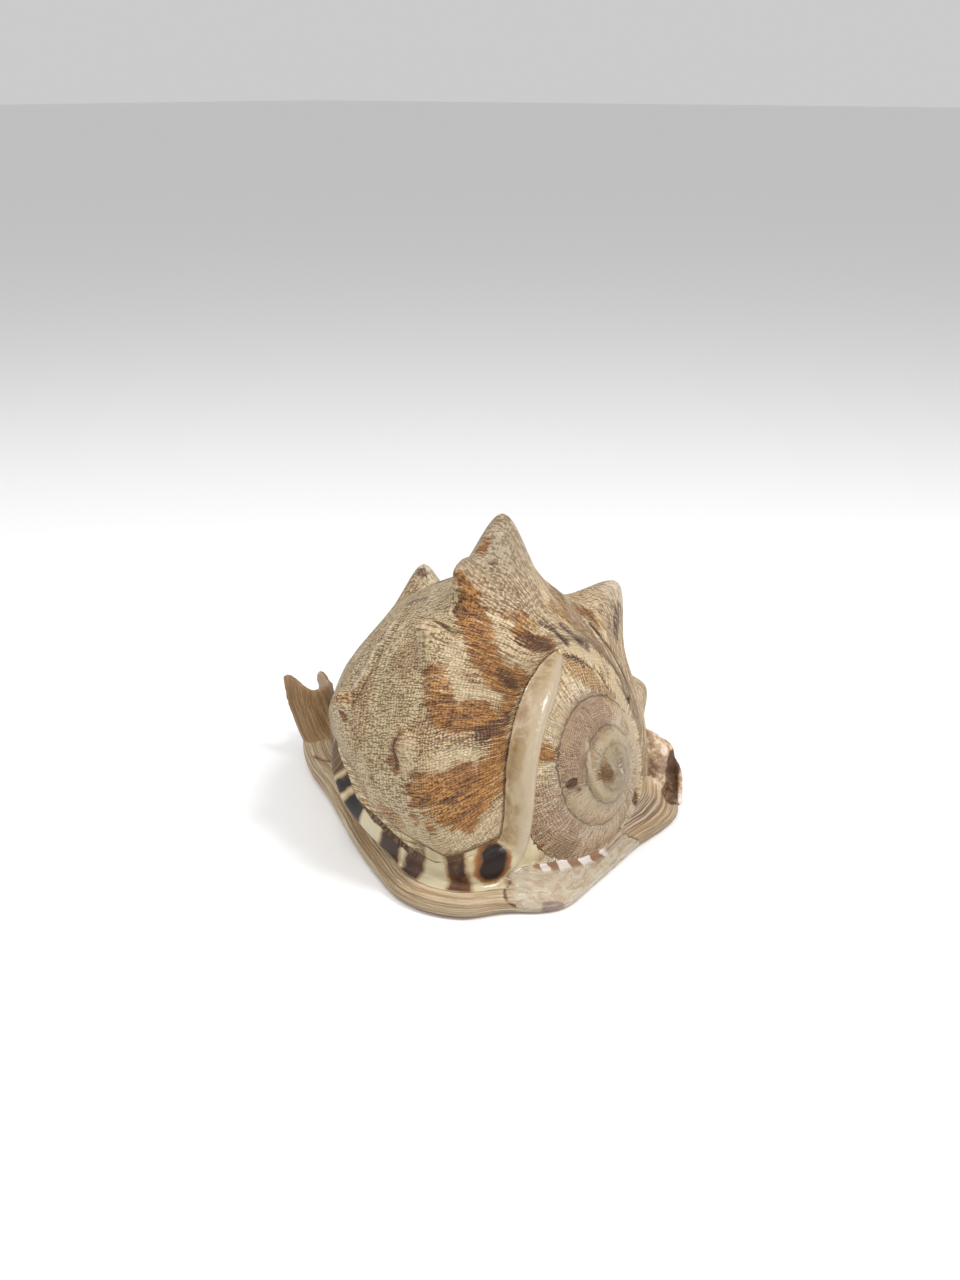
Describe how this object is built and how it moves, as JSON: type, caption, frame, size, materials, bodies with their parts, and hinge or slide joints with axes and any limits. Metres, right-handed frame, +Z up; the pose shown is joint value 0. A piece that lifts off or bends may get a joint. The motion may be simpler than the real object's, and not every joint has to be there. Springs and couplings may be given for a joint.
{
  "type": "horned helmet shell",
  "caption": "Large domed sea snail shell with blunt horns on its shoulder, lying on a broad glossy shield with a long narrow toothed opening and a short upturned canal.",
  "frame": {"origin": "middle of the bounding box, on the ground that the shell lies on", "axes": "+X along the coiling axis towards the apex, +Y towards the outer lip, +Z up"},
  "size_m": [0.2168, 0.1932, 0.1592],
  "materials": {
    "shell": "natural shell, satin on the back and glossy on the shield"
  },
  "bodies": {
    "root": {"shell": "shell"}
  },
  "joints": []
}
